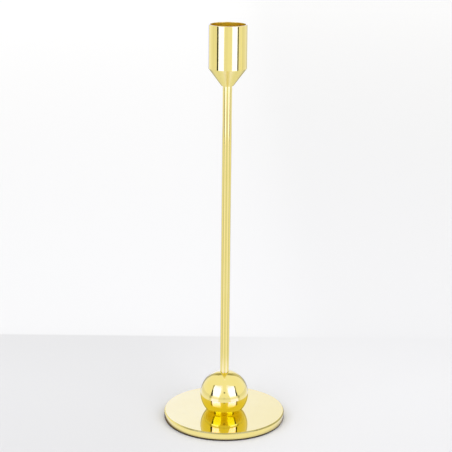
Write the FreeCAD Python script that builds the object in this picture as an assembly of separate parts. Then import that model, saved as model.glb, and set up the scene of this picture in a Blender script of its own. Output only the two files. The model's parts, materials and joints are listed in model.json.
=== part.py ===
"""Slim table candlestick for one taper candle.

A turned base disc carries a ball, a thin tube stem and a turned cup with a conical underside.
Nothing is fused: a steel tie rod screws into the cup, runs down inside the stem and through the
ball and the base, and one thin nut in the base's underside recess clamps the whole stack.

Millimetres, +Z up, origin on the stem axis at the underside of the felt pad.
"""

import FreeCAD
import Part

import math
import os

V = FreeCAD.Vector

# Driving dimensions
PAD_THICKNESS = 1.0
PAD_INSET = 0.6            # how far the pad stays inside the base's edge
PAD_HOLE_RADIUS = 9.0      # leaves the nut recess open for a spanner
PAD_EDGE = 0.2

BASE_RADIUS = 40.25
BASE_THICKNESS = 4.7
BASE_TOP_ROUND = 0.8
BASE_FOOT_ROUND = 0.4
RECESS_RADIUS = 6.5        # holds the washers and the nut
RECESS_DEPTH = 3.2
ROD_HOLE_RADIUS = 2.2      # clearance for the tie rod in the base and the ball

BALL_RADIUS = 16.0
BALL_SEAT_RADIUS = 11.3    # the flat the ball stands on
BALL_RELIEF_RADIUS = 7.0   # the seat is relieved in the middle, so it bears on its rim
BALL_RELIEF_DEPTH = 0.4

STEM_RADIUS = 3.0
STEM_BORE_RADIUS = 2.2
STEM_EXPOSED = 192.7       # from the ball's crown to the cup
STEM_END_CHAMFER = 0.25
SPIGOT_DEPTH = 3.0         # how far the stem enters the ball and the cup
SPIGOT_CLEARANCE = 0.05

CUP_RADIUS = 12.25
CUP_NECK_RADIUS = 3.85     # the flat lower end of the cone
CUP_CONE_HEIGHT = 11.2
CUP_WALL_HEIGHT = 27.6
CUP_LIP_ROUND = 0.3
SOCKET_RADIUS = 11.25      # takes a taper candle of 22 mm
SOCKET_FLOOR = 1.0         # above the top of the cone
SOCKET_FLOOR_ROUND = 0.5

THREAD_PITCH = 0.7
THREAD_MAJOR = 1.97        # M4, as cut
THREAD_MINOR = 1.55
TAP_CLEARANCE = 0.07       # radial room in the cup's and the nut's thread
ROD_SHANK_RADIUS = 1.75
ROD_END_CHAMFER = 0.4
CUP_THREAD_DEPTH = 7.5
ROD_FOOT_GAP = 0.35        # the rod's foot stays this far above the table

FLAT_WASHER_RADIUS = 5.0
FLAT_WASHER_THICKNESS = 0.8
LOCK_WASHER_RADIUS = 3.6
LOCK_WASHER_BORE = 2.1
LOCK_WASHER_THICKNESS = 0.9
LOCK_WASHER_GAP = 0.6
NUT_ACROSS_FLATS = 7.0
NUT_THICKNESS = 2.2

# Heights worked out from them
BASE_FOOT_Z = PAD_THICKNESS
BASE_TOP_Z = BASE_FOOT_Z + BASE_THICKNESS
RECESS_TOP_Z = BASE_FOOT_Z + RECESS_DEPTH
BALL_CENTRE_Z = BASE_TOP_Z + math.sqrt(BALL_RADIUS**2 - BALL_SEAT_RADIUS**2)
BALL_CROWN_Z = BALL_CENTRE_Z + BALL_RADIUS
CUP_FOOT_Z = BALL_CROWN_Z + STEM_EXPOSED
CUP_WALL_Z = CUP_FOOT_Z + CUP_CONE_HEIGHT
CUP_RIM_Z = CUP_WALL_Z + CUP_WALL_HEIGHT
SOCKET_FLOOR_Z = CUP_WALL_Z + SOCKET_FLOOR
STEM_FOOT_Z = BALL_CROWN_Z - SPIGOT_DEPTH
STEM_TOP_Z = CUP_FOOT_Z + SPIGOT_DEPTH
CUP_THREAD_TOP_Z = STEM_TOP_Z + CUP_THREAD_DEPTH
FLAT_WASHER_Z = RECESS_TOP_Z - FLAT_WASHER_THICKNESS
LOCK_WASHER_Z = FLAT_WASHER_Z - LOCK_WASHER_THICKNESS
NUT_Z = LOCK_WASHER_Z - NUT_THICKNESS
ROD_FOOT_Z = ROD_FOOT_GAP
ROD_TOP_Z = CUP_THREAD_TOP_Z - 1.0


def bore(radius, z_low, z_high):
    """A cylinder on the axis, for cutting a hole or making a shank."""
    return Part.makeCylinder(radius, z_high - z_low, V(0, 0, z_low))


def chamfer_cone(radius, depth, z_mouth, upwards):
    """The cutter that chamfers the mouth of a hole by 45 degrees."""
    z = z_mouth if upwards else z_mouth - depth
    wide, narrow = radius + depth, radius
    low, high = (wide, narrow) if upwards else (narrow, wide)
    return Part.makeCone(low, high, depth, V(0, 0, z))


def line(a, b):
    return Part.LineSegment(V(a[0], 0, a[1]), V(b[0], 0, b[1])).toShape()


def arc(a, through, b):
    return Part.Arc(V(a[0], 0, a[1]), V(through[0], 0, through[1]), V(b[0], 0, b[1])).toShape()


def corner(centre, radius, start_degrees, end_degrees):
    """A round between two walls of a turned outline, as points (start, middle, end)."""
    middle_degrees = (start_degrees + end_degrees) / 2
    return [
        (
            centre[0] + radius * math.cos(math.radians(degrees)),
            centre[1] + radius * math.sin(math.radians(degrees)),
        )
        for degrees in (start_degrees, middle_degrees, end_degrees)
    ]


def turned(edges):
    """The solid that a closed outline of (radius, z) edges sweeps about the axis."""
    face = Part.Face(Part.Wire(edges))
    return face.revolve(V(0, 0, 0), V(0, 0, 1), 360)


def screw_thread(z_low, z_high, room=0.0):
    """A threaded shank between two heights, its helix in step with every other one on the rod.

    room widens it all round: with it the solid is the tap that cuts a matching thread.
    """
    major, minor = THREAD_MAJOR + room, THREAD_MINOR + room
    first_turn = math.floor(z_low / THREAD_PITCH) - 2
    last_turn = math.ceil(z_high / THREAD_PITCH) + 2
    helix_z = first_turn * THREAD_PITCH
    helix = Part.makeLongHelix(THREAD_PITCH, (last_turn - first_turn) * THREAD_PITCH, minor)
    root_bite = 0.05
    root_half = 0.40 * THREAD_PITCH
    crest_half = 0.07 * THREAD_PITCH + room / 2
    outline = [
        V(minor - root_bite, 0, -root_half),
        V(major, 0, -crest_half),
        V(major, 0, crest_half),
        V(minor - root_bite, 0, root_half),
    ]
    profile = Part.makePolygon(outline + outline[:1])
    ridge = Part.Wire(helix.Edges).makePipeShell([profile], True, True)
    ridge.translate(V(0, 0, helix_z))
    shank = bore(minor, z_low, z_high)
    trimmed = ridge.common(bore(major + 1.0, z_low, z_high))
    return shank.fuse(trimmed)


def felt_pad():
    outer = BASE_RADIUS - PAD_INSET
    edge = PAD_EDGE
    top = PAD_THICKNESS
    return turned([
        line((PAD_HOLE_RADIUS, 0), (outer - edge, 0)),
        line((outer - edge, 0), (outer, edge)),
        line((outer, edge), (outer, top)),
        line((outer, top), (PAD_HOLE_RADIUS, top)),
        line((PAD_HOLE_RADIUS, top), (PAD_HOLE_RADIUS, 0)),
    ])


def base_disc():
    r = BASE_RADIUS
    foot_round = corner((r - BASE_FOOT_ROUND, BASE_FOOT_Z + BASE_FOOT_ROUND), BASE_FOOT_ROUND, -90, 0)
    top_round = corner((r - BASE_TOP_ROUND, BASE_TOP_Z - BASE_TOP_ROUND), BASE_TOP_ROUND, 0, 90)
    disc = turned([
        line((0, BASE_FOOT_Z), foot_round[0]),
        arc(*foot_round),
        line(foot_round[2], top_round[0]),
        arc(*top_round),
        line(top_round[2], (0, BASE_TOP_Z)),
        line((0, BASE_TOP_Z), (0, BASE_FOOT_Z)),
    ])
    disc = disc.cut(bore(RECESS_RADIUS, BASE_FOOT_Z - 1, RECESS_TOP_Z))
    disc = disc.cut(chamfer_cone(RECESS_RADIUS, 0.4, BASE_FOOT_Z, upwards=True))
    return disc.cut(bore(ROD_HOLE_RADIUS, BASE_FOOT_Z, BASE_TOP_Z + 1))


def ball():
    sphere = Part.makeSphere(BALL_RADIUS, V(0, 0, BALL_CENTRE_Z))
    below = Part.makeBox(
        4 * BALL_RADIUS, 4 * BALL_RADIUS, 2 * BALL_RADIUS,
        V(-2 * BALL_RADIUS, -2 * BALL_RADIUS, BASE_TOP_Z - 2 * BALL_RADIUS),
    )
    body = sphere.cut(below)
    body = body.cut(bore(BALL_RELIEF_RADIUS, BASE_TOP_Z - 1, BASE_TOP_Z + BALL_RELIEF_DEPTH))
    body = body.cut(bore(ROD_HOLE_RADIUS, BASE_TOP_Z - 1, BALL_CROWN_Z + 1))
    return body.cut(bore(STEM_RADIUS + SPIGOT_CLEARANCE, STEM_FOOT_Z, BALL_CROWN_Z + 1))


def stem_tube():
    outer, inner, c = STEM_RADIUS, STEM_BORE_RADIUS, STEM_END_CHAMFER
    low, high = STEM_FOOT_Z, STEM_TOP_Z
    return turned([
        line((inner, low), (outer - c, low)),
        line((outer - c, low), (outer, low + c)),
        line((outer, low + c), (outer, high - c)),
        line((outer, high - c), (outer - c, high)),
        line((outer - c, high), (inner, high)),
        line((inner, high), (inner, low)),
    ])


def candle_cup():
    lip = CUP_LIP_ROUND
    outer_lip = corner((CUP_RADIUS - lip, CUP_RIM_Z - lip), lip, 0, 90)
    inner_lip = corner((SOCKET_RADIUS + lip, CUP_RIM_Z - lip), lip, 90, 180)
    fillet = SOCKET_FLOOR_ROUND
    floor_round = corner((SOCKET_RADIUS - fillet, SOCKET_FLOOR_Z + fillet), fillet, 0, -90)
    body = turned([
        line((0, CUP_FOOT_Z), (CUP_NECK_RADIUS, CUP_FOOT_Z)),
        line((CUP_NECK_RADIUS, CUP_FOOT_Z), (CUP_RADIUS, CUP_WALL_Z)),
        line((CUP_RADIUS, CUP_WALL_Z), outer_lip[0]),
        arc(*outer_lip),
        line(outer_lip[2], inner_lip[0]),
        arc(*inner_lip),
        line(inner_lip[2], floor_round[0]),
        arc(*floor_round),
        line(floor_round[2], (0, SOCKET_FLOOR_Z)),
        line((0, SOCKET_FLOOR_Z), (0, CUP_FOOT_Z)),
    ])
    body = body.cut(bore(STEM_RADIUS + SPIGOT_CLEARANCE, CUP_FOOT_Z - 1, STEM_TOP_Z))
    return body.cut(screw_thread(STEM_TOP_Z - 0.5, CUP_THREAD_TOP_Z, room=TAP_CLEARANCE))


def tie_rod():
    """Rolled threads on a plain shank: one end in the cup, the other through the nut."""
    foot_thread_top = RECESS_TOP_Z + 2.0
    cup_thread_low = STEM_TOP_Z - 1.0
    shank = bore(ROD_SHANK_RADIUS, foot_thread_top, cup_thread_low)
    foot = screw_thread(ROD_FOOT_Z, foot_thread_top)
    head = screw_thread(cup_thread_low, ROD_TOP_Z)
    rod = shank.fuse([foot, head])
    blank_radius = THREAD_MAJOR
    c = ROD_END_CHAMFER
    blank = turned([
        line((0, ROD_FOOT_Z), (blank_radius - c, ROD_FOOT_Z)),
        line((blank_radius - c, ROD_FOOT_Z), (blank_radius + 0.01, ROD_FOOT_Z + c)),
        line((blank_radius + 0.01, ROD_FOOT_Z + c), (blank_radius + 0.01, ROD_TOP_Z - c)),
        line((blank_radius + 0.01, ROD_TOP_Z - c), (blank_radius - c, ROD_TOP_Z)),
        line((blank_radius - c, ROD_TOP_Z), (0, ROD_TOP_Z)),
        line((0, ROD_TOP_Z), (0, ROD_FOOT_Z)),
    ])
    return rod.common(blank)


def flat_washer():
    ring = bore(FLAT_WASHER_RADIUS, FLAT_WASHER_Z, RECESS_TOP_Z)
    return ring.cut(bore(ROD_HOLE_RADIUS, FLAT_WASHER_Z - 1, RECESS_TOP_Z + 1))


def lock_washer():
    """A split spring washer, closed flat under load, with its slit cut on the slant."""
    ring = bore(LOCK_WASHER_RADIUS, LOCK_WASHER_Z, FLAT_WASHER_Z)
    ring = ring.cut(bore(LOCK_WASHER_BORE, LOCK_WASHER_Z - 1, FLAT_WASHER_Z + 1))
    slit = Part.makeBox(
        2 * LOCK_WASHER_RADIUS, LOCK_WASHER_GAP, 4 * LOCK_WASHER_THICKNESS,
        V(0, -LOCK_WASHER_GAP / 2, -2 * LOCK_WASHER_THICKNESS),
    )
    slit.rotate(V(0, 0, 0), V(1, 0, 0), 35)
    slit.translate(V(0, 0, LOCK_WASHER_Z + LOCK_WASHER_THICKNESS / 2))
    return ring.cut(slit)


def base_nut():
    """A thin hexagon nut with both faces' corners turned off at 30 degrees."""
    corner_radius = NUT_ACROSS_FLATS / 2 / math.cos(math.radians(30))
    points = [
        V(corner_radius * math.cos(math.radians(60 * k)), corner_radius * math.sin(math.radians(60 * k)), NUT_Z)
        for k in range(7)
    ]
    hexagon = Part.Face(Part.makePolygon(points)).extrude(V(0, 0, NUT_THICKNESS))
    face_radius = NUT_ACROSS_FLATS / 2 * 0.97
    slope = math.tan(math.radians(30))
    rise = (corner_radius + 0.2 - face_radius) * slope
    wide = corner_radius + 0.2
    turned_blank = turned([
        line((0, NUT_Z), (face_radius, NUT_Z)),
        line((face_radius, NUT_Z), (wide, NUT_Z + rise)),
        line((wide, NUT_Z + rise), (wide, LOCK_WASHER_Z - rise)),
        line((wide, LOCK_WASHER_Z - rise), (face_radius, LOCK_WASHER_Z)),
        line((face_radius, LOCK_WASHER_Z), (0, LOCK_WASHER_Z)),
        line((0, LOCK_WASHER_Z), (0, NUT_Z)),
    ])
    nut = hexagon.common(turned_blank)
    return nut.cut(screw_thread(NUT_Z - 1, LOCK_WASHER_Z + 1, room=TAP_CLEARANCE))


PIECES = {
    "felt_pad": felt_pad,
    "base_disc": base_disc,
    "base_nut": base_nut,
    "lock_washer": lock_washer,
    "flat_washer": flat_washer,
    "tie_rod": tie_rod,
    "ball": ball,
    "stem_tube": stem_tube,
    "candle_cup": candle_cup,
}


def main():
    os.makedirs("parts", exist_ok=True)
    for name, build in PIECES.items():
        shape = build()
        solids = shape.Solids
        if len(solids) != 1 or not solids[0].isValid():
            raise RuntimeError(f"{name} is not one valid solid")
        solids[0].exportStep(f"parts/{name}.step")
        print(f"{name}: {solids[0].Volume:.1f} mm3")


main()
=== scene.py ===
import json
import math

import bpy
from mathutils import Matrix, Vector


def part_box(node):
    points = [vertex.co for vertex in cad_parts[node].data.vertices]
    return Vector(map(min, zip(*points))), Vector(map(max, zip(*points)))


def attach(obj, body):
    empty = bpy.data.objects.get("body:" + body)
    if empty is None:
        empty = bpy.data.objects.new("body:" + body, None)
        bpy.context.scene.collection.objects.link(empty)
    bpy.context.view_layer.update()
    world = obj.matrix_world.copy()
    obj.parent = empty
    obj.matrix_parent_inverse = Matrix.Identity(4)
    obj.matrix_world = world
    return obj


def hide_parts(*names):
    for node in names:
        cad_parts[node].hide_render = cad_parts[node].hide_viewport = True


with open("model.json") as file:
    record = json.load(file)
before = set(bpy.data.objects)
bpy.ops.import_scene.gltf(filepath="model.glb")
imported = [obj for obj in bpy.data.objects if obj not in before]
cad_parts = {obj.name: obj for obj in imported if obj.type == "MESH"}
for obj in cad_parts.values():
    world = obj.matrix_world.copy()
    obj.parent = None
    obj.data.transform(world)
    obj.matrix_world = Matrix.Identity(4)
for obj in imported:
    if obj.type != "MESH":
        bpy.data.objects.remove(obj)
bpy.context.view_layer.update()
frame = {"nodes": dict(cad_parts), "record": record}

# The looks of a slim brass candlestick. Metres, the CAD's own frame, +Z up, origin under the felt.
# The four brass pieces and the felt are turned again here as fine meshes with exact normals and
# a finish per surface. The steel rod, nut and washers keep their CAD meshes.

MM = 0.001

# ---------------------------------------------------------------------------------------------
# Sizes read from the frame
# ---------------------------------------------------------------------------------------------


def span(node):
    """The heights of a node's foot and top, and its radius."""
    low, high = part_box(node)
    return low.z, high.z, high.x


PAD_FOOT, PAD_TOP, PAD_R = span("felt_pad")
BASE_FOOT, BASE_TOP, BASE_R = span("base_disc")
BALL_SEAT, _, BALL_R = span("ball")
STEM_FOOT, STEM_TOP, STEM_R = span("stem_tube")
CUP_FOOT, CUP_RIM, CUP_R = span("candle_cup")
ROD_TOP = span("tie_rod")[1]
RECESS_TOP = span("flat_washer")[1]
CANDLE_SOCKET = next(mount for mount in frame["record"]["mounts"] if mount["name"] == "candle_socket")
SOCKET_R = CANDLE_SOCKET["dims"]["r_mm"] * MM

# Sizes inside those boxes, as the design has them
PAD_HOLE_R = 9.0 * MM
PAD_EDGE = 0.2 * MM
BASE_TOP_ROUND = 0.8 * MM
BASE_FOOT_ROUND = 0.4 * MM
RECESS_R = 6.5 * MM
RECESS_MOUTH = 0.4 * MM
ROD_HOLE_R = 2.2 * MM
SEAT_R = 11.3 * MM
RELIEF_R = 7.0 * MM
RELIEF_DEPTH = 0.4 * MM
SPIGOT_R = STEM_R + 0.05 * MM
STEM_BORE_R = 2.2 * MM
STEM_CHAMFER = 0.25 * MM
NECK_R = 3.85 * MM
CONE_HEIGHT = 11.2 * MM
SOCKET_FLOOR = 1.0 * MM
SOCKET_FLOOR_ROUND = 0.5 * MM
LIP_ROUND = 0.3 * MM
TAPPED_R = 1.83 * MM
TAPPED_PAST_ROD = 1.0 * MM  # how far the tapped hole runs past the rod's end
EDGE_BREAK = 0.10 * MM      # polishing takes this much off a sharp corner

BALL_CENTRE = BALL_SEAT + math.sqrt(BALL_R**2 - SEAT_R**2)
BALL_MOUTH = BALL_CENTRE + math.sqrt(BALL_R**2 - SPIGOT_R**2)
CUP_WALL = CUP_FOOT + CONE_HEIGHT

# ---------------------------------------------------------------------------------------------
# Turned outlines: rows of (radius, height, normal out, normal up), one list per surface
# ---------------------------------------------------------------------------------------------

MIRROR, TURNED, BORED, SATIN, EDGE = range(5)      # finishes, as material slots of a turned piece
DEGREES_PER_ROW = 12                               # how finely the round of a corner is divided
DISC_SEGMENTS, BALL_SEGMENTS, CUP_SEGMENTS, STEM_SEGMENTS = 240, 160, 160, 96
BALL_ROWS = 72
SAME_PLACE = 1e-8


def straight(start, end, finish, rows=1):
    """A straight surface. The metal lies to the left of the way it runs."""
    run, rise = end[0] - start[0], end[1] - start[1]
    length = math.hypot(run, rise)
    normal = (rise / length, -run / length)
    points = []
    for i in range(rows + 1):
        t = i / rows
        points.append((start[0] + run * t, start[1] + rise * t, *normal))
    return finish, points


def rounded(centre, radius, start_degrees, end_degrees, finish, rows):
    """A round surface: an edge when its angle grows, a fillet when it falls."""
    side = 1 if end_degrees > start_degrees else -1
    points = []
    for i in range(rows + 1):
        angle = math.radians(start_degrees + (end_degrees - start_degrees) * i / rows)
        out, up = math.cos(angle), math.sin(angle)
        points.append((centre[0] + radius * out, centre[1] + radius * up, side * out, side * up))
    return finish, points


def corner_round(before, corner, after, radius):
    """Where the round of a corner starts and ends, and what rounded() needs to draw it."""
    corner, size = Vector(corner), abs(radius)
    back = (Vector(before) - corner).normalized()
    onward = (Vector(after) - corner).normalized()
    half = back.angle(onward) / 2
    centre = corner + (back + onward).normalized() * (size / math.sin(half))
    start = corner + back * (size / math.tan(half))
    end = corner + onward * (size / math.tan(half))
    first = math.degrees(math.atan2(start.y - centre.y, start.x - centre.x))
    last = math.degrees(math.atan2(end.y - centre.y, end.x - centre.x))
    if radius > 0 and last < first:
        last += 360
    if radius < 0 and last > first:
        last -= 360
    rows = max(3, round(abs(last - first) / DEGREES_PER_ROW))
    return tuple(start), tuple(end), (centre, size, first, last, rows)


def turned_outline(corners, finish_of, rows_of):
    """A closed outline from its corners (radius, height, round), walked with the metal on the left.

    A positive round softens a convex corner and a negative one fills a concave corner. finish_of
    gives the finish of the surface that leaves each corner, and rows_of the number of rows where
    one isn't enough. A round has the finish of the surface before it, or its own as the corner's
    fourth value.
    """
    count = len(corners)
    ends = []
    for i, (r, z, radius, *_) in enumerate(corners):
        if radius == 0:
            ends.append(((r, z), (r, z), None))
        else:
            ends.append(corner_round(corners[i - 1][:2], (r, z), corners[(i + 1) % count][:2], radius))
    surfaces = []
    for i, (_, leave, bend) in enumerate(ends):
        if bend:
            centre, size, first, last, rows = bend
            own = corners[i][3] if len(corners[i]) > 3 else finish_of[i - 1]
            surfaces.append(rounded(centre, size, first, last, own, rows))
        onward = ends[(i + 1) % count][0]
        surfaces.append(straight(leave, onward, finish_of[i], rows_of.get(i, 1)))
    return surfaces


def turned_mesh(name, surfaces, segments):
    """The surfaces swept about Z into one closed mesh, with the outlines' own normals."""
    angles = [2 * math.pi * j / segments for j in range(segments)]
    rings, points, faces, normals, finishes = [], [], [], [], []

    def ring(r, z):
        """The vertices of one ring, shared with the last or first ring when at the same place."""
        for known_r, known_z, members in (rings[-1:] + rings[:1]):
            if math.hypot(known_r - r, known_z - z) < SAME_PLACE:
                return members
        if r < SAME_PLACE:
            members = [len(points)] * segments
            points.append((0, 0, z))
        else:
            members = list(range(len(points), len(points) + segments))
            points.extend((r * math.cos(angle), r * math.sin(angle), z) for angle in angles)
        rings.append((r, z, members))
        return members

    for finish, rows in surfaces:
        below = ring(*rows[0][:2])
        for low, high in zip(rows, rows[1:]):
            above = ring(*high[:2])
            for j in range(segments):
                k = (j + 1) % segments
                corners = [(below[j], j, low), (below[k], k, low), (above[k], k, high), (above[j], j, high)]
                if below[j] == below[k]:
                    corners.pop(1)
                if above[j] == above[k]:
                    corners.pop()
                faces.append([vertex for vertex, _, _ in corners])
                finishes.append(finish)
                for _, step, (_, _, out, up) in corners:
                    normals.append((out * math.cos(angles[step]), out * math.sin(angles[step]), up))
            below = above
    mesh = bpy.data.meshes.new(name)
    mesh.from_pydata(points, [], faces)
    mesh.polygons.foreach_set("use_smooth", [True] * len(faces))
    mesh.polygons.foreach_set("material_index", finishes)
    mesh.normals_split_custom_set(normals)
    return mesh


def turn(name, surfaces, segments, node, materials):
    """Makes a turned piece that stands for a CAD node."""
    mesh = turned_mesh(name, surfaces, segments)
    for finish in materials:
        mesh.materials.append(finish)
    piece = bpy.data.objects.new(name, mesh)
    bpy.context.scene.collection.objects.link(piece)
    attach(piece, "root")
    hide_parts(node)


# ---------------------------------------------------------------------------------------------
# Node graphs
# ---------------------------------------------------------------------------------------------

def rgb(red, green, blue):
    return red, green, blue, 1


def grey(value):
    return rgb(value, value, value)


WHITE = grey(1)
BLACK = grey(0)


class Graph:
    """A short way to write a shader's nodes: any input takes a number, a colour or a socket."""

    def __init__(self, owner):
        owner.use_nodes = True
        self.tree = owner.node_tree
        self.tree.nodes.clear()

    def node(self, kind, inputs=None, **settings):
        made = self.tree.nodes.new(kind)
        for key, value in settings.items():
            setattr(made, key, value)
        for key, value in (inputs or {}).items():
            self.feed(made.inputs[key], value)
        return made

    def feed(self, socket, value):
        if isinstance(value, bpy.types.NodeSocket):
            self.tree.links.new(value, socket)
        else:
            socket.default_value = value

    def maths(self, operation, a, b=0.0):
        return self.node("ShaderNodeMath", {0: a, 1: b}, operation=operation).outputs[0]

    def add(self, first, *others):
        total = first
        for other in others:
            total = self.maths("ADD", total, other)
        return total

    def times(self, a, b):
        return self.maths("MULTIPLY", a, b)

    def spread(self, value, low, high, to_low=0.0, to_high=1.0, smooth=False):
        """The value moved from the range low to high into another one, and held at its ends."""
        kind = "SMOOTHSTEP" if smooth else "LINEAR"
        inputs = {"Value": value, "From Min": low, "From Max": high, "To Min": to_low, "To Max": to_high}
        return self.node("ShaderNodeMapRange", inputs, interpolation_type=kind).outputs["Result"]

    def noise(self, place, size, detail=2.0, roughness=0.5, distortion=0.0):
        """Noise whose blotches are about size metres across."""
        inputs = {"Vector": place, "Scale": 1 / size, "Detail": detail, "Roughness": roughness,
                  "Distortion": distortion}
        return self.node("ShaderNodeTexNoise", inputs).outputs[0]

    def rings(self, along, size):
        """Uneven lathe rings, about size metres apart."""
        inputs = {"W": along, "Scale": 1 / size, "Detail": 3.0}
        return self.node("ShaderNodeTexNoise", inputs, noise_dimensions="1D").outputs[0]

    def stretched(self, place, factors, turn_degrees):
        inputs = {"Vector": place, "Rotation": [math.radians(a) for a in turn_degrees], "Scale": factors}
        return self.node("ShaderNodeMapping", inputs).outputs[0]

    def blend(self, share, a, b):
        return self.node("ShaderNodeMix", {"Factor": share, 6: a, 7: b}, data_type="RGBA").outputs[2]

    def bump(self, height, depth, under=None):
        inputs = {"Height": height, "Distance": depth}
        if under is not None:
            inputs["Normal"] = under
        return self.node("ShaderNodeBump", inputs).outputs[0]

    def mixed(self, share, a, b):
        """Two shaders mixed."""
        return self.node("ShaderNodeMixShader", {0: share, 1: a, 2: b}).outputs[0]

    def lit(self, colour, strength=1.0):
        """A shader that only shines."""
        return self.node("ShaderNodeEmission", {"Color": colour, "Strength": strength}).outputs[0]

    def finish(self, surface, kind="ShaderNodeOutputMaterial"):
        self.node(kind, {"Surface": surface})

    def place(self):
        return self.node("ShaderNodeTexCoord").outputs["Object"]

    def parts(self, place):
        """X, Y and Z of a place."""
        return self.node("ShaderNodeSeparateXYZ", {0: place}).outputs

    def from_axis(self, place):
        """Distance from the axis, and height."""
        across, along, height = self.parts(place)
        return self.maths("SQRT", self.add(self.times(across, across), self.times(along, along))), height

    def in_brass(self):
        """One for what is seen in a shiny surface, else zero."""
        return self.node("ShaderNodeLightPath").outputs["Is Glossy Ray"]

    def after_bounces(self, count):
        """One for what is seen by way of at least count reflections, else zero."""
        bounces = self.node("ShaderNodeLightPath").outputs["Glossy Depth"]
        return self.spread(bounces, count - 0.6, count - 0.4)


# ---------------------------------------------------------------------------------------------
# Materials
# ---------------------------------------------------------------------------------------------

BRASS = rgb(0.97, 0.82, 0.26)
BRASS_WARM = rgb(0.95, 0.79, 0.225)
TURNED_CLEAN = rgb(0.90, 0.71, 0.17)
TURNED_TARNISHED = rgb(0.76, 0.50, 0.09)
CONE_PALE = rgb(1.0, 0.865, 0.31)
CONE_WARM = rgb(0.985, 0.84, 0.28)
# Painted shade for the plate's top edge, in a darker and a lighter olive
EDGE_SHADE_DARK = rgb(0.43, 0.36, 0.11)
EDGE_SHADE_LIGHT = rgb(0.53, 0.45, 0.13)
SOCKET_AMBER = rgb(1.00, 0.74, 0.04)
SOCKET_WAXED = rgb(0.94, 0.66, 0.03)
ZINC_BLUE = rgb(0.60, 0.63, 0.67)
ZINC_YELLOW = rgb(0.70, 0.67, 0.57)
PHOSPHATE = rgb(0.035, 0.035, 0.038)
PHOSPHATE_WORN = rgb(0.22, 0.22, 0.23)
FELT_GROUND = rgb(0.013, 0.009, 0.005)
FELT_HAIRS = rgb(0.060, 0.044, 0.028)

# Brass seen in other brass is given a deeper colour than its own, with nearly no blue left. The
# upper stem, which only the cup's cone sees, keeps most of its own. The colour changes between
# the two heights of each step.
PLATE_IN_BRASS = rgb(0.80, 0.64, 0.015)
BALL_IN_BRASS = rgb(0.75, 0.59, 0.012)
UPPER_STEM_IN_BRASS = rgb(0.91, 0.78, 0.20)
PLATE_TO_BALL = (6.5 * MM, 7.5 * MM)
BALL_TO_UPPER_STEM = (70 * MM, 120 * MM)

# Values that are the same all over a surface
MIRROR_METAL = {"Metallic": 1.0, "Coat Weight": 1.0, "Coat Roughness": 0.02, "Coat IOR": 1.5}
BARE_METAL = {"Metallic": 1.0}
PHOSPHATED_METAL = {"Metallic": 0.8}
WOOL = {"Sheen Weight": 0.20, "Sheen Roughness": 0.5}


def material(name, build, uniform):
    """A Principled material: build gives its colour, roughness and normal."""
    made = bpy.data.materials.new(name)
    g = Graph(made)
    colour, roughness, normal = build(g)
    varied = {"Base Color": colour, "Roughness": roughness, "Normal": normal}
    g.finish(g.node("ShaderNodeBsdfPrincipled", {**uniform, **varied}).outputs[0])
    return made


def brass_colour(g, height, skin):
    """The skin's colour, or the deeper one that other brass reflects."""
    deeper = g.blend(g.spread(height, *PLATE_TO_BALL), PLATE_IN_BRASS, BALL_IN_BRASS)
    deeper = g.blend(g.spread(height, *BALL_TO_UPPER_STEM), deeper, UPPER_STEM_IN_BRASS)
    return g.blend(g.in_brass(), skin, deeper)


def mirror_brass(g):
    """Buffed to a mirror, then lacquered: faint wipe marks and a slow ripple from the buffing wheel."""
    place = g.place()
    handled = g.noise(place, 14 * MM, 3, 0.6)
    wipes = g.noise(g.stretched(place, (1, 1, 0.06), (35, 20, 50)), 0.5 * MM, 3, 0.7)
    cross_wipes = g.noise(g.stretched(place, (0.06, 1, 1), (10, 40, 15)), 0.4 * MM, 3, 0.7)
    marks = g.add(g.times(g.spread(wipes, 0.56, 0.80), g.spread(handled, 0.35, 0.70)),
                  g.times(g.spread(cross_wipes, 0.58, 0.82), g.spread(handled, 0.65, 0.30)))
    grain = g.noise(place, 0.12 * MM)
    roughness = g.add(g.spread(handled, 0.3, 0.75, 0.042, 0.068), g.spread(grain, 0.3, 0.7, 0, 0.008),
                      g.times(marks, 0.05))
    ripple = g.bump(g.noise(place, 9 * MM, 1), 0.006 * MM)
    normal = g.bump(marks, 0.0006 * MM, under=ripple)
    skin = g.blend(g.spread(handled, 0.3, 0.8), BRASS, BRASS_WARM)
    return brass_colour(g, g.parts(place)[2], skin), roughness, normal


def turned_brass(g):
    """Straight off the lathe: fine rings on every face and bore, and a little tarnish in them."""
    place = g.place()
    radius, height = g.from_axis(place)
    rings = g.rings(g.add(radius, height), 0.14 * MM)
    tarnish = g.noise(place, 3 * MM, 4, 0.65)
    skin = g.blend(g.spread(tarnish, 0.35, 0.8), TURNED_CLEAN, TURNED_TARNISHED)
    roughness = g.add(g.spread(rings, 0.3, 0.7, 0.16, 0.26), g.spread(tarnish, 0.4, 0.8, 0, 0.10))
    return brass_colour(g, height, skin), roughness, g.bump(rings, 0.008 * MM)


def satin_brass(g):
    """The cup's cone: fine turning rings that were only lightly buffed."""
    place = g.place()
    rings = g.rings(g.add(*g.from_axis(place)), 0.10 * MM)
    handled = g.noise(place, 9 * MM, 3, 0.6)
    skin = g.blend(g.spread(handled, 0.3, 0.8), CONE_PALE, CONE_WARM)
    roughness = g.add(g.spread(rings, 0.3, 0.7, 0.20, 0.26), g.spread(handled, 0.3, 0.75, 0, 0.04))
    return skin, roughness, g.bump(rings, 0.003 * MM)


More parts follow.
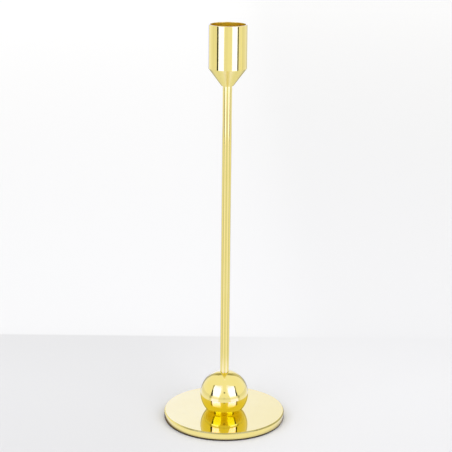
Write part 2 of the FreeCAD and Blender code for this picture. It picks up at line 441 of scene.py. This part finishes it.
def edge_brass(g):
    """The top edge's round, painted a darker olive: painted shade for the dark line that the edge reflects.
    """
    place = g.place()
    edge_blotches = g.noise(place, 4 * MM, 4, 0.65)
    nicks = g.noise(place, 0.3 * MM, 3, 0.7)
    edge_shade = g.blend(g.spread(edge_blotches, 0.3, 0.75), EDGE_SHADE_DARK, EDGE_SHADE_LIGHT)
    # At its left end, which catches bright light, the painted shade gives way to plain brass.
    across, _, height = g.parts(place)
    skin = g.blend(g.spread(across, -34 * MM, -22 * MM, smooth=True), BRASS, edge_shade)
    roughness = g.add(g.spread(nicks, 0.35, 0.75, 0.20, 0.34), g.spread(edge_blotches, 0.3, 0.7, 0, 0.05))
    return brass_colour(g, height, skin), roughness, g.bump(nicks, 0.004 * MM)


def bored_brass(g):
    """The candle socket: reamed, so duller than the outside, with faint rings and old wax."""
    place = g.place()
    rings = g.rings(g.parts(place)[2], 0.25 * MM)
    film = g.noise(place, 5 * MM, 4, 0.65)
    skin = g.blend(g.spread(film, 0.35, 0.8), SOCKET_AMBER, SOCKET_WAXED)
    roughness = g.add(g.spread(rings, 0.3, 0.7, 0.25, 0.31), g.spread(film, 0.4, 0.8, 0, 0.08))
    return skin, roughness, g.bump(rings, 0.006 * MM)


def zinc_steel(g):
    """Bright zinc plate: a pale blue-white skin with faint yellow bloom and dull spots."""
    place = g.place()
    bloom = g.noise(place, 2.5 * MM, 3, 0.6)
    spots = g.noise(place, 0.35 * MM, 3, 0.7)
    skin = g.blend(g.spread(bloom, 0.35, 0.7), ZINC_BLUE, ZINC_YELLOW)
    roughness = g.add(g.spread(spots, 0.4, 0.75, 0.22, 0.42), g.spread(bloom, 0.3, 0.7, 0, 0.06))
    return skin, roughness, g.bump(spots, 0.01 * MM)


def spring_steel(g):
    """Phosphated spring steel: nearly black, with grey wear flecks."""
    flecks = g.noise(g.place(), 0.3 * MM, 4, 0.7)
    skin = g.blend(g.spread(flecks, 0.5, 0.75), PHOSPHATE, PHOSPHATE_WORN)
    return skin, g.spread(flecks, 0.3, 0.75, 0.62, 0.36), g.bump(flecks, 0.02 * MM)


def felt(g):
    """Pressed wool felt: matted fibres lying every way, with lighter hairs on top."""
    place = g.place()
    one_way = g.noise(g.stretched(place, (1, 0.12, 1), (0, 0, 25)), 0.09 * MM, 2, 0.6, distortion=1.5)
    other_way = g.noise(g.stretched(place, (0.12, 1, 1), (0, 0, -35)), 0.09 * MM, 2, 0.6, distortion=1.5)
    fibres = g.maths("MAXIMUM", one_way, other_way)
    tufts = g.noise(place, 1.2 * MM, 3, 0.6)
    skin = g.blend(g.spread(fibres, 0.45, 0.8), FELT_GROUND, FELT_HAIRS)
    normal = g.bump(g.add(fibres, g.times(tufts, 0.8)), 0.12 * MM)
    return skin, g.spread(tufts, 0.3, 0.7, 0.86, 0.98), normal


# In the order of the finishes
BRASS_FINISHES = [
    material("mirror_brass", mirror_brass, MIRROR_METAL),
    material("turned_brass", turned_brass, BARE_METAL),
    material("bored_brass", bored_brass, BARE_METAL),
    material("satin_brass", satin_brass, BARE_METAL),
    material("edge_brass", edge_brass, BARE_METAL),
]
FELT = material("wool_felt", felt, WOOL)
ZINC = material("zinc_steel", zinc_steel, BARE_METAL)
SPRING = material("spring_steel", spring_steel, PHOSPHATED_METAL)

for node, finish in (("tie_rod", ZINC), ("base_nut", ZINC), ("flat_washer", ZINC), ("lock_washer", SPRING)):
    frame["nodes"][node].material_slots[0].material = finish

# ---------------------------------------------------------------------------------------------
# The turned pieces
# ---------------------------------------------------------------------------------------------


def base_plate():
    """The disc: a recess for the nut below, and a rounded top edge with painted shade on its outer part."""
    corners = [
        (ROD_HOLE_R, RECESS_TOP, 0),
        (RECESS_R, RECESS_TOP, 0),
        (RECESS_R, BASE_FOOT + RECESS_MOUTH, 0),
        (RECESS_R + RECESS_MOUTH, BASE_FOOT, 0),
        (BASE_R, BASE_FOOT, BASE_FOOT_ROUND),
        (BASE_R, BASE_TOP, BASE_TOP_ROUND, EDGE),
        (ROD_HOLE_R, BASE_TOP, 0),
    ]
    finishes = [TURNED, TURNED, TURNED, TURNED, MIRROR, MIRROR, TURNED]
    surfaces = turned_outline(corners, finishes, {3: 6, 5: 8})
    # The painted shade stops two rows short of the flat top.
    edge = next(i for i, (finish, _) in enumerate(surfaces) if finish == EDGE)
    points = surfaces[edge][1]
    surfaces[edge:edge + 1] = [(EDGE, points[:-2]), (MIRROR, points[-3:])]
    turn("base_plate", surfaces, DISC_SEGMENTS, "base_disc", BRASS_FINISHES)


def stem_ball():
    """The ball: a relieved flat seat below, and a hole that takes the stem's end above."""
    low = math.degrees(math.atan2(BALL_SEAT - BALL_CENTRE, SEAT_R))
    high = math.degrees(math.atan2(BALL_MOUTH - BALL_CENTRE, SPIGOT_R))
    relief = BALL_SEAT + RELIEF_DEPTH
    surfaces = [
        straight((ROD_HOLE_R, relief), (RELIEF_R, relief), TURNED, 2),
        straight((RELIEF_R, relief), (RELIEF_R, BALL_SEAT), TURNED),
        straight((RELIEF_R, BALL_SEAT), (SEAT_R, BALL_SEAT), TURNED, 2),
        rounded((0, BALL_CENTRE), BALL_R, low, high, MIRROR, BALL_ROWS),
        straight((SPIGOT_R, BALL_MOUTH), (SPIGOT_R, STEM_FOOT), TURNED, 2),
        straight((SPIGOT_R, STEM_FOOT), (ROD_HOLE_R, STEM_FOOT), TURNED),
        straight((ROD_HOLE_R, STEM_FOOT), (ROD_HOLE_R, relief), TURNED, 8),
    ]
    turn("stem_ball", surfaces, BALL_SEGMENTS, "ball", BRASS_FINISHES)


def stem():
    """The thin tube, chamfered at both ends."""
    corners = [
        (STEM_BORE_R, STEM_FOOT, 0),
        (STEM_R - STEM_CHAMFER, STEM_FOOT, 0),
        (STEM_R, STEM_FOOT + STEM_CHAMFER, 0),
        (STEM_R, STEM_TOP - STEM_CHAMFER, 0),
        (STEM_R - STEM_CHAMFER, STEM_TOP, 0),
        (STEM_BORE_R, STEM_TOP, 0),
    ]
    finishes = [TURNED, TURNED, MIRROR, TURNED, TURNED, TURNED]
    surfaces = turned_outline(corners, finishes, {2: 48, 5: 24})
    turn("stem", surfaces, STEM_SEGMENTS, "stem_tube", BRASS_FINISHES)


def cup():
    """The cup: the candle's socket above, a cone, and below it the stem's and the rod's holes."""
    floor_height = CUP_WALL + SOCKET_FLOOR
    tapped_top = ROD_TOP + TAPPED_PAST_ROD
    corners = [
        (SPIGOT_R, CUP_FOOT, 0),
        (NECK_R, CUP_FOOT, EDGE_BREAK),
        (CUP_R, CUP_WALL, EDGE_BREAK),
        (CUP_R, CUP_RIM, LIP_ROUND),
        (SOCKET_R, CUP_RIM, LIP_ROUND),
        (SOCKET_R, floor_height, -SOCKET_FLOOR_ROUND),
        (0, floor_height, 0),
    ]
    finishes = [MIRROR, SATIN, MIRROR, MIRROR, BORED, BORED, TURNED]
    outside = turned_outline(corners, finishes, {1: 12, 2: 24, 4: 20, 5: 4})
    # The last surface would close the outline straight through the metal: the hole takes its place.
    outside.pop()
    hole = [
        straight((0, tapped_top), (TAPPED_R, tapped_top), TURNED),
        straight((TAPPED_R, tapped_top), (TAPPED_R, STEM_TOP), TURNED, 12),
        straight((TAPPED_R, STEM_TOP), (SPIGOT_R, STEM_TOP), TURNED),
        straight((SPIGOT_R, STEM_TOP), (SPIGOT_R, CUP_FOOT), TURNED, 2),
    ]
    turn("cup", outside + hole, CUP_SEGMENTS, "candle_cup", BRASS_FINISHES)


def pad():
    """The felt ring under the disc."""
    corners = [
        (PAD_HOLE_R, PAD_FOOT, PAD_EDGE),
        (PAD_R, PAD_FOOT, PAD_EDGE),
        (PAD_R, PAD_TOP, 0),
        (PAD_HOLE_R, PAD_TOP, 0),
    ]
    surfaces = turned_outline(corners, [0, 0, 0, 0], {0: 12, 1: 3, 2: 12, 3: 3})
    turn("pad", surfaces, DISC_SEGMENTS, "felt_pad", [FELT])


# ---------------------------------------------------------------------------------------------
# The studio that the brass reflects
# ---------------------------------------------------------------------------------------------

SOFTBOX_DISTANCE = 0.90
CAMERA_BODY_DISTANCE = 0.95
HOOP_DISTANCE = 1.25
BACKDROP_DISTANCE = 1.30
PANEL_COLUMNS = 8
SOFTBOX_FOOT, SOFTBOX_FULL = 0.045, 0.085        # heights between which its foot changes colour
SOFTBOX_FADES, SOFTBOX_TOP = 0.64, 1.15          # and between which it fades


def glow(name, colour_of, strength=1.0):
    """A stage material that only shines, in the colour that colour_of gives."""
    made = bpy.data.materials.new(name)
    g = Graph(made)
    g.finish(g.lit(colour_of(g), strength))
    return made


def softbox_colour(g):
    """White on the floor, and fading upwards.

    No real softbox changes with what shows it, but this one does. In brass it is bluer than white,
    most of all in the second reflection, so that the yellow metal still shows it nearly white.
    """
    height = g.parts(g.place())[2]
    low = g.spread(height, SOFTBOX_FOOT, SOFTBOX_FULL, smooth=True)
    high = g.spread(height, SOFTBOX_FADES, SOFTBOX_TOP, smooth=True)
    top = rgb(1.00, 1.06, 2.1)
    on_floor = g.blend(high, grey(3.4), top)
    once = g.blend(high, g.blend(low, rgb(1.40, 1.34, 2.3), rgb(1.45, 1.65, 3.6)), top)
    twice = g.blend(high, rgb(1.75, 1.75, 16.0), rgb(1.10, 1.20, 3.0))
    colour = g.blend(g.after_bounces(1), on_floor, once)
    colour = g.blend(g.after_bounces(2), colour, twice)
    return g.blend(g.after_bounces(3), colour, rgb(1.65, 2.2, 2.5))


def hoop_colour(g):
    """An olive grey, darker towards the top."""
    height = g.parts(g.place())[2]
    return g.blend(g.spread(height, 0.55, 1.15, smooth=True), rgb(0.62, 0.59, 0.44), rgb(0.40, 0.37, 0.25))


def backdrop_colour(g):
    """A cool white that turns warmer to the right."""
    across = g.parts(g.place())[0]
    return g.blend(g.spread(across, -0.12, 0.12), rgb(1.00, 1.07, 1.72), rgb(0.96, 0.99, 1.30))


def around(azimuth, elevation, distance):
    """A point seen from the ball: azimuth 0 is the camera's side and grows to its right."""
    a, e = math.radians(azimuth), math.radians(elevation)
    return Vector((distance * math.sin(a), -distance * math.cos(a), BALL_CENTRE + distance * math.tan(e)))


def panel(name, distance, finish, rows, lights_floor=False):
    """An upright panel bent round the object and hidden from the camera.

    A row is the azimuth and elevation of its one end and then of its other.
    """
    points, faces = [], []
    for start, start_up, end, end_up in rows:
        for i in range(PANEL_COLUMNS + 1):
            t = i / PANEL_COLUMNS
            points.append(around(start + (end - start) * t, start_up + (end_up - start_up) * t, distance))
    wide = PANEL_COLUMNS + 1
    for j in range(len(rows) - 1):
        for i in range(PANEL_COLUMNS):
            k = j * wide + i
            faces.append((k, k + 1, k + wide + 1, k + wide))
    mesh = bpy.data.meshes.new(name)
    mesh.from_pydata(points, [], faces)
    mesh.materials.append(finish)
    made = bpy.data.objects.new(name, mesh)
    bpy.context.scene.collection.objects.link(made)
    made.visible_camera = False
    made.visible_shadow = False
    made.visible_diffuse = lights_floor


def softboxes_and_flags():
    """A softbox each side of the camera, with its glow towards the camera and a black flag outside."""
    white = glow("softbox_white", softbox_colour)
    black = glow("flag_black", lambda g: WHITE, 0.05)
    dim = glow("flag_grey", lambda g: WHITE, 0.42)
    halo = glow("softbox_glow", lambda g: rgb(1.0, 1.0, 1.35), 1.06)
    for name, finish, rows in (
        ("left_softbox", white,
         [(-56, 9, -22, 9), (-59, 20, -18.5, 22), (-63.5, 32, -18.5, 40), (-68, 46, -25, 56)]),
        ("right_softbox", white,
         [(25.5, 9, 57.5, 9), (21.5, 14, 57, 14), (20.5, 40, 61.5, 30), (30, 57, 66, 43)]),
        ("left_softbox_foot", white, [(-56, -1, -23, -1), (-56, 9, -22, 9)]),
        ("right_softbox_foot", white, [(26.5, -1, 58, -1), (25.5, 9, 57.5, 9)]),
        ("left_flag", black,
         [(-67, -1, -56, -1), (-67, 9, -56, 9), (-66, 14, -57.5, 14), (-68, 24, -60.3, 24)]),
        ("right_flag", black,
         [(58, -1, 66.5, -1), (57.5, 9, 66, 9), (57, 14, 64, 14), (59.3, 24, 66, 23)]),
        ("left_flag_top", dim, [(-68, 24, -60.3, 24), (-72, 31, -63.5, 32), (-78, 41, -68, 46)]),
        ("right_flag_top", dim, [(59.3, 24, 66, 23), (61.5, 30, 69.5, 28), (66, 43, 75, 38)]),
        ("left_glow", halo,
         [(-22, 9, -17, 9), (-18.5, 22, -10, 24), (-18.5, 40, -9, 41), (-25, 56, -14, 58)]),
        ("right_glow", halo,
         [(20, 9, 25.5, 9), (13, 24, 21, 22), (12, 41, 20.5, 40), (18, 59, 30, 57)]),
    ):
        panel(name, SOFTBOX_DISTANCE, finish, rows, lights_floor=name.endswith("_softbox"))


def hoop_and_backdrops():
    """The camera's body, and behind the object a dark hoop round cool backdrops."""
    panel("camera_body", CAMERA_BODY_DISTANCE, glow("camera_grey", lambda g: WHITE, 0.30),
          [(-3, 20, 5, 20), (-3, 27, 5, 27)])
    panel("hoop", HOOP_DISTANCE, glow("hoop_dark", hoop_colour),
          [(-159, 22, -147, 22), (-160, 34, -146, 37), (-164, 38, -148, 53), (-170, 46, -164, 60),
           (-180, 50, -180, 62), (-190, 46, -196, 60), (-199, 37, -212, 50), (-200, 30, -216, 34),
           (-199, -8, -217, -8)])
    cool = glow("backdrop_cool", backdrop_colour)
    panel("left_rim_glow", BACKDROP_DISTANCE, cool, [(180, -1, 200, -1), (180, 16, 200, 16)])
    panel("hoop_foot", HOOP_DISTANCE, glow("hoop_dim", lambda g: WHITE, 0.50),
          [(-160, -8, -148, -8), (-159, 22, -147, 22)])
    panel("backdrop", BACKDROP_DISTANCE, cool, [(168, 17, 192, 17), (168, 34, 192, 34)])


def surroundings():
    """The room: plain white, a little brighter in the brass than elsewhere."""
    world = bpy.data.worlds.new("room")
    bpy.context.scene.world = world
    g = Graph(world)
    strength = g.spread(g.in_brass(), 0, 1, 0.925, 0.945)
    lit = g.node("ShaderNodeBackground", {"Color": WHITE, "Strength": strength})
    g.finish(lit.outputs[0], "ShaderNodeOutputWorld")


# ---------------------------------------------------------------------------------------------
# Floor and camera
# ---------------------------------------------------------------------------------------------

FLOOR_REACH = 4.0
TABLE_EDGE = 0.155                 # behind this the floor is a sweep that glows with painted light
PAPER_DARK = rgb(0.782, 0.780, 0.774)
PAPER_PALE = rgb(0.802, 0.800, 0.794)
# Painted shadow and painted reflection colours, which only the brass sees
FOOT_SHADOW = rgb(0.11, 0.08, 0.05)
NEAR_FLOOR_IN_BRASS = rgb(0.92, 0.93, 1.05)
FAR_FLOOR_IN_BRASS = grey(0.83)
# Distances from the axis at which what the brass sees of the floor changes
SHADOW_FULL, SHADOW_ENDS = 0.0420, 0.0445
PAINT_STARTS, PAINT_FULL = 0.043, 0.046
SECTORS_START, SECTORS_FULL = 0.0500, 0.0540
NEAR_ENDS, FAR_STARTS = 0.085, 0.125
PAINT_FADES, PAINT_ENDS = 0.90, 1.05
SECTOR_BLUR = 2                    # degrees, to each side

CAMERA_BACK = 0.866
CAMERA_HEIGHT = 0.3771
CAMERA_DOWN = 15.70
CAMERA_ROLL = 0.60
CAMERA_LENS = 110.3
CAMERA_SENSOR = 36


def paper(g, place):
    """Matt paper with painted shade, a little darker to the left and towards the camera, and a sweep behind
    it that glows with painted light.
    """
    across, along, _ = g.parts(place)
    away, _ = g.from_axis(place)
    tooth = g.noise(place, 0.8 * MM, 3)
    # Painted shade: the paper's colour darkens to the left and towards the camera.
    shade = g.times(g.spread(across, -0.08, 0.06, 0.925, 1.0, smooth=True),
                    g.spread(along, -0.12, 0.10, 0.92, 1.0, smooth=True))
    sheet = g.blend(g.spread(tooth, 0.3, 0.7), PAPER_DARK, PAPER_PALE)
    # Painted light: the sweep glows, a little more to the left and more the farther back it is, and so does
    # the floor far out in front.
    step = g.times(g.spread(along, TABLE_EDGE - 0.002, TABLE_EDGE + 0.003, smooth=True),
                   g.spread(across, -0.08, 0.10, 0.11, 0.0, smooth=True))
    sweep = g.times(g.maths("SQRT", g.spread(along, TABLE_EDGE, 2.3)), 0.23)
    room = g.times(g.spread(away, 0.85, 1.45, 0, 0.22, smooth=True),
                   g.spread(along, TABLE_EDGE, TABLE_EDGE - 0.1))
    return g.node("ShaderNodeBsdfPrincipled", {
        "Base Color": g.blend(shade, BLACK, sheet),
        "Roughness": g.spread(tooth, 0.3, 0.7, 0.85, 0.95),
        "Normal": g.bump(tooth, 0.004 * MM),
        "Specular IOR Level": 0.0,
        "Emission Color": WHITE,
        "Emission Strength": g.add(step, sweep, room),
    }).outputs[0]


def floor_in_brass(g, place):
    """The floor's colour as the brass shows it, a painted reflection by azimuth: each softbox's glow, each
    flag's and the hoop's shade, and the tripod's shade."""
    across, along, _ = g.parts(place)
    away, _ = g.from_axis(place)
    azimuth = g.maths("ARCTAN2", across, g.times(along, -1.0))
    near = g.spread(away, NEAR_ENDS, FAR_STARTS, 1, 0, smooth=True)
    beyond_plate = g.spread(away, SECTORS_START, SECTORS_FULL)
    near_glow = g.blend(g.after_bounces(2), rgb(1.10, 1.14, 2.30), rgb(1.60, 2.0, 8.0))
    softbox = g.blend(near, rgb(0.97, 0.98, 1.25), near_glow)
    flag = g.blend(near, grey(0.42), grey(0.80))
    hoop = grey(0.42)
    tripod = g.blend(g.spread(away, 0.25, 0.50, smooth=True), grey(0.76), grey(0.62))
    tripod = g.blend(near, tripod, NEAR_FLOOR_IN_BRASS)
    colour = g.blend(near, FAR_FLOOR_IN_BRASS, NEAR_FLOOR_IN_BRASS)
    for start, end, there in ((-57, -25, softbox), (28, 62, softbox), (-70, -60, flag), (65, 74, flag),
                              (-166, -146, hoop), (146, 166, hoop), (-4, 5, tripod)):
        past_start = g.spread(azimuth, math.radians(start - SECTOR_BLUR), math.radians(start + SECTOR_BLUR))
        before_end = g.spread(azimuth, math.radians(end + SECTOR_BLUR), math.radians(end - SECTOR_BLUR))
        colour = g.blend(g.times(g.times(past_start, before_end), beyond_plate), colour, there)
    return colour


def floor():
    mesh = bpy.data.meshes.new("floor")
    r = FLOOR_REACH
    mesh.from_pydata([(-r, -r, 0), (r, -r, 0), (r, r, 0), (-r, r, 0)], [], [(0, 1, 2, 3)])
    made = bpy.data.objects.new("floor", mesh)
    bpy.context.scene.collection.objects.link(made)
    sheet = bpy.data.materials.new("pale_paper")
    g = Graph(sheet)
    place = g.place()
    across, _, _ = g.parts(place)
    away, _ = g.from_axis(place)
    # Painted reflection: in the brass, the floor from the plate's foot out to about a metre shows the
    # painted map.
    painted = g.times(g.spread(away, PAINT_STARTS, PAINT_FULL, smooth=True),
                      g.spread(away, PAINT_ENDS, PAINT_FADES, smooth=True))
    surface = g.mixed(g.times(painted, g.in_brass()), paper(g, place), g.lit(floor_in_brass(g, place)))
    # Painted shadow: in the brass, the floor round the plate's foot is a dark ring, wider on the left.
    reach = g.add(away, g.spread(across, -0.035, 0.035, 0, 0.0012))
    shadow = g.times(g.spread(reach, SHADOW_FULL, SHADOW_ENDS, 1, 0, smooth=True), g.in_brass())
    g.finish(g.mixed(shadow, surface, g.lit(FOOT_SHADOW)))
    mesh.materials.append(sheet)


def camera():
    lens = bpy.data.cameras.new("camera")
    lens.lens = CAMERA_LENS
    lens.sensor_width = CAMERA_SENSOR
    lens.clip_start = 0.05
    lens.clip_end = 20
    made = bpy.data.objects.new("camera", lens)
    bpy.context.scene.collection.objects.link(made)
    tilt = Matrix.Rotation(math.radians(90 - CAMERA_DOWN), 4, "X")
    roll = Matrix.Rotation(math.radians(CAMERA_ROLL), 4, "Z")
    made.matrix_world = Matrix.Translation((0, -CAMERA_BACK, CAMERA_HEIGHT)) @ tilt @ roll
    bpy.context.scene.camera = made


base_plate()
stem_ball()
stem()
cup()
pad()
softboxes_and_flags()
hoop_and_backdrops()
surroundings()
floor()
camera()
bpy.context.scene.view_settings.view_transform = "Standard"
